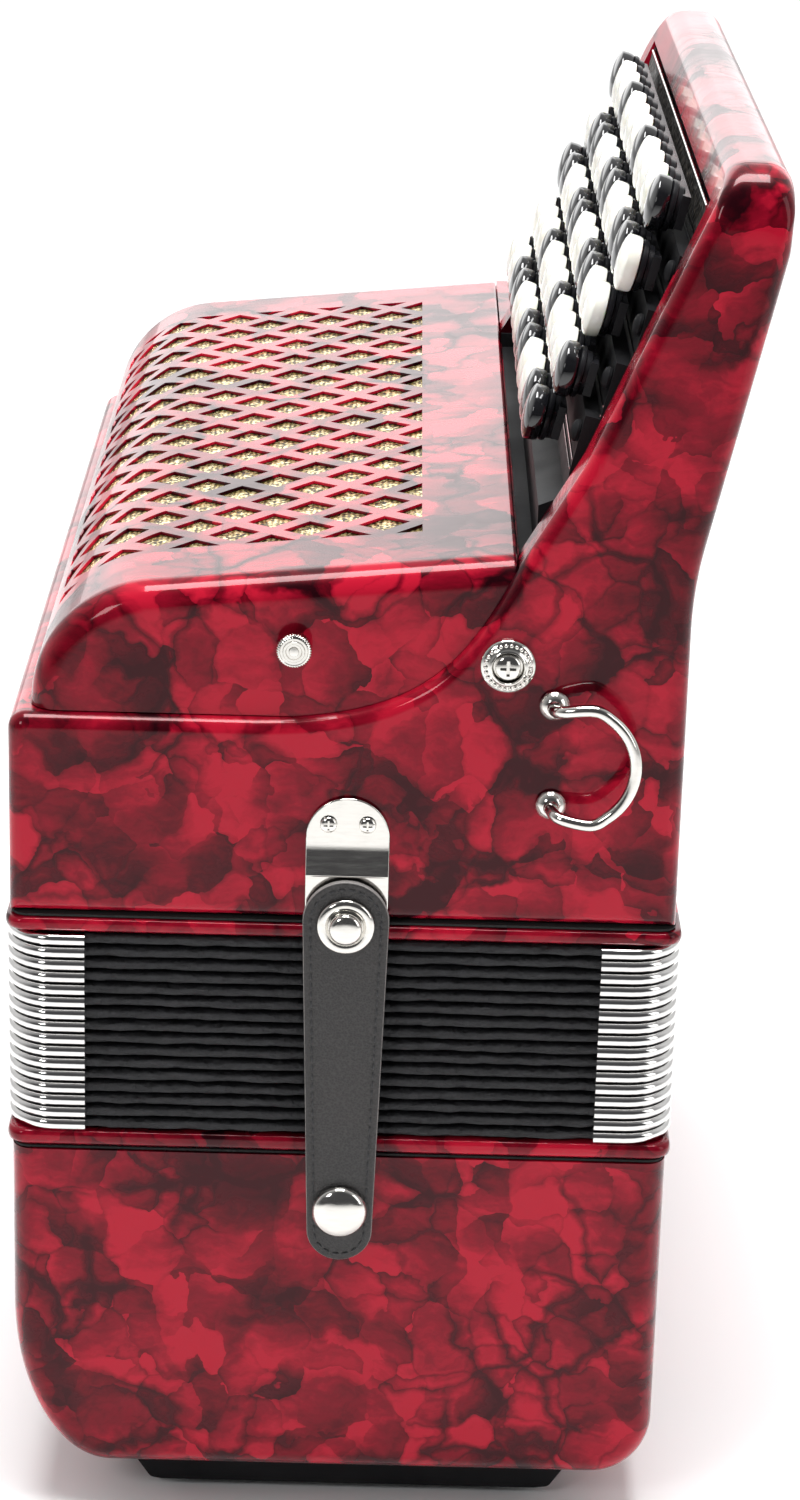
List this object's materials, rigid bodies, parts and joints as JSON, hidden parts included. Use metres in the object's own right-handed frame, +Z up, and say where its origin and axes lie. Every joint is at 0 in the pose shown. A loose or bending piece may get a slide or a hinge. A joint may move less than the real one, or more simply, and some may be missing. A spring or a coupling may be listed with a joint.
{
  "type": "button accordion",
  "caption": "Compact chromatic button accordion with marbled cases, a stepped button keyboard, a latticed grille cover, pleated bellows with plated corners and snap straps.",
  "frame": {"origin": "on the ground, under the middle of the bounding box, as it stands on its bass end", "axes": "+Z up along the bellows from the bass end to the keyboard; +X towards the player's side; Y along the long side of the cases"},
  "size_m": [0.202, 0.358, 0.3895],
  "materials": {
    "pearl_red": "gloss marbled celluloid",
    "black_gloss": "gloss",
    "black_moulding": "matt",
    "leather": "satin",
    "bellows_cloth": "grained leathercloth",
    "chrome": "polished",
    "nickel": "polished",
    "gold_cloth": "metallic weave",
    "wood": "raw",
    "button_ivory": "gloss",
    "felt": "matt"
  },
  "bodies": {
    "bass_side": {"bass_case": "pearl_red", "bass_base_plate": "black_moulding", "foot_1": "chrome", "foot_2": "chrome", "foot_3": "chrome", "foot_4": "chrome", "bass_button_board": "black_moulding", "bass_soundboard": "wood", "bass_reed_block_1": "wood", "bass_reed_block_2": "wood", "bass_bellows_frame": "pearl_red", "bass_gasket": "felt", "hand_strap": "leather", "bellows": "bellows_cloth", "bellows_corners_front_near": "chrome", "bellows_corners_back_near": "chrome", "bellows_corners_front_far": "chrome", "bellows_corners_back_far": "chrome", "strap_stud_near": "nickel", "strap_stud_far": "nickel"},
    "treble_side": {"treble_case": "pearl_red", "grille_cover": "pearl_red", "grille_cloth": "gold_cloth", "key_bed": "black_gloss", "treble_bellows_frame": "pearl_red", "treble_gasket": "felt", "treble_soundboard": "wood", "treble_reed_block_1": "wood", "treble_reed_block_2": "wood", "strap_bracket_near": "nickel", "case_screw_near": "nickel", "strap_loop_near": "nickel", "strap_bracket_far": "nickel", "case_screw_far": "nickel", "strap_loop_far": "nickel", "bracket_screw_near_1": "nickel", "bracket_screw_near_2": "nickel", "bracket_screw_far_1": "nickel", "bracket_screw_far_2": "nickel"},
    "strap_near": {"bellows_strap_near": "leather", "strap_snap_near": "nickel"},
    "thumbscrew_near": {"thumbscrew_near": "nickel"},
    "strap_far": {"bellows_strap_far": "leather", "strap_snap_far": "nickel"},
    "thumbscrew_far": {"thumbscrew_far": "nickel"},
    "bass_row_1": {"bass_button_row_1": "button_ivory"},
    "bass_row_2": {"bass_button_row_2": "button_ivory"},
    "bass_row_3": {"bass_button_row_3": "button_ivory"},
    "bass_row_4": {"bass_button_row_4": "button_ivory"},
    "treble_row_1": {"treble_button_row_1": "button_ivory"},
    "treble_row_2": {"treble_button_row_2": "button_ivory"},
    "treble_row_3": {"treble_button_row_3": "button_ivory"},
    "treble_row_4": {"treble_button_row_4": "button_ivory"},
    "treble_row_5": {"treble_button_row_5": "button_ivory"},
    "air": {"air_button": "chrome"}
  },
  "joints": [
    {"name": "bellows_extension", "type": "slide", "parent": "bass_side", "child": "treble_side", "axis": [0, 0, 1], "range_m": [0, 0.22], "deforming": ["bellows", "bellows_corners_front_near", "bellows_corners_back_near", "bellows_corners_front_far", "bellows_corners_back_far"]},
    {"name": "strap_swing_near", "type": "hinge", "parent": "bass_side", "child": "strap_near", "pos_m": [-0.0082, -0.1727, 0.099], "axis": [0, 1, 0], "range_deg": [-90, 90]},
    {"name": "strap_swing_far", "type": "hinge", "parent": "bass_side", "child": "strap_far", "pos_m": [-0.0082, 0.1727, 0.099], "axis": [0, 1, 0], "range_deg": [-90, 90]},
    {"name": "treble_row_1_press", "type": "slide", "parent": "treble_side", "child": "treble_row_1", "axis": [0.9732, 0, -0.23], "range_m": [0, 0.003], "stiffness_N_per_m": 400, "springref_m": -0.002},
    {"name": "treble_row_2_press", "type": "slide", "parent": "treble_side", "child": "treble_row_2", "axis": [0.9732, 0, -0.23], "range_m": [0, 0.003], "stiffness_N_per_m": 400, "springref_m": -0.002},
    {"name": "treble_row_3_press", "type": "slide", "parent": "treble_side", "child": "treble_row_3", "axis": [0.9732, 0, -0.23], "range_m": [0, 0.003], "stiffness_N_per_m": 400, "springref_m": -0.002},
    {"name": "treble_row_4_press", "type": "slide", "parent": "treble_side", "child": "treble_row_4", "axis": [0.9732, 0, -0.23], "range_m": [0, 0.003], "stiffness_N_per_m": 400, "springref_m": -0.002},
    {"name": "treble_row_5_press", "type": "slide", "parent": "treble_side", "child": "treble_row_5", "axis": [0.9732, 0, -0.23], "range_m": [0, 0.003], "stiffness_N_per_m": 400, "springref_m": -0.002},
    {"name": "bass_row_1_press", "type": "slide", "parent": "bass_side", "child": "bass_row_1", "axis": [0, 0, 1], "range_m": [0, 0.003], "stiffness_N_per_m": 300, "springref_m": -0.002},
    {"name": "bass_row_2_press", "type": "slide", "parent": "bass_side", "child": "bass_row_2", "axis": [0, 0, 1], "range_m": [0, 0.003], "stiffness_N_per_m": 300, "springref_m": -0.002},
    {"name": "bass_row_3_press", "type": "slide", "parent": "bass_side", "child": "bass_row_3", "axis": [0, 0, 1], "range_m": [0, 0.003], "stiffness_N_per_m": 300, "springref_m": -0.002},
    {"name": "bass_row_4_press", "type": "slide", "parent": "bass_side", "child": "bass_row_4", "axis": [0, 0, 1], "range_m": [0, 0.003], "stiffness_N_per_m": 300, "springref_m": -0.002},
    {"name": "air_button_press", "type": "slide", "parent": "bass_side", "child": "air", "axis": [0, 0, 1], "range_m": [0, 0.004], "stiffness_N_per_m": 300, "springref_m": -0.003},
    {"name": "thumbscrew_turn_near", "type": "hinge", "parent": "treble_side", "child": "thumbscrew_near", "pos_m": [-0.0234, -0.1642, 0.26], "axis": [0, 1, 0], "continuous": true},
    {"name": "thumbscrew_turn_far", "type": "hinge", "parent": "treble_side", "child": "thumbscrew_far", "pos_m": [-0.0234, 0.1642, 0.26], "axis": [0, 1, 0], "continuous": true}
  ]
}
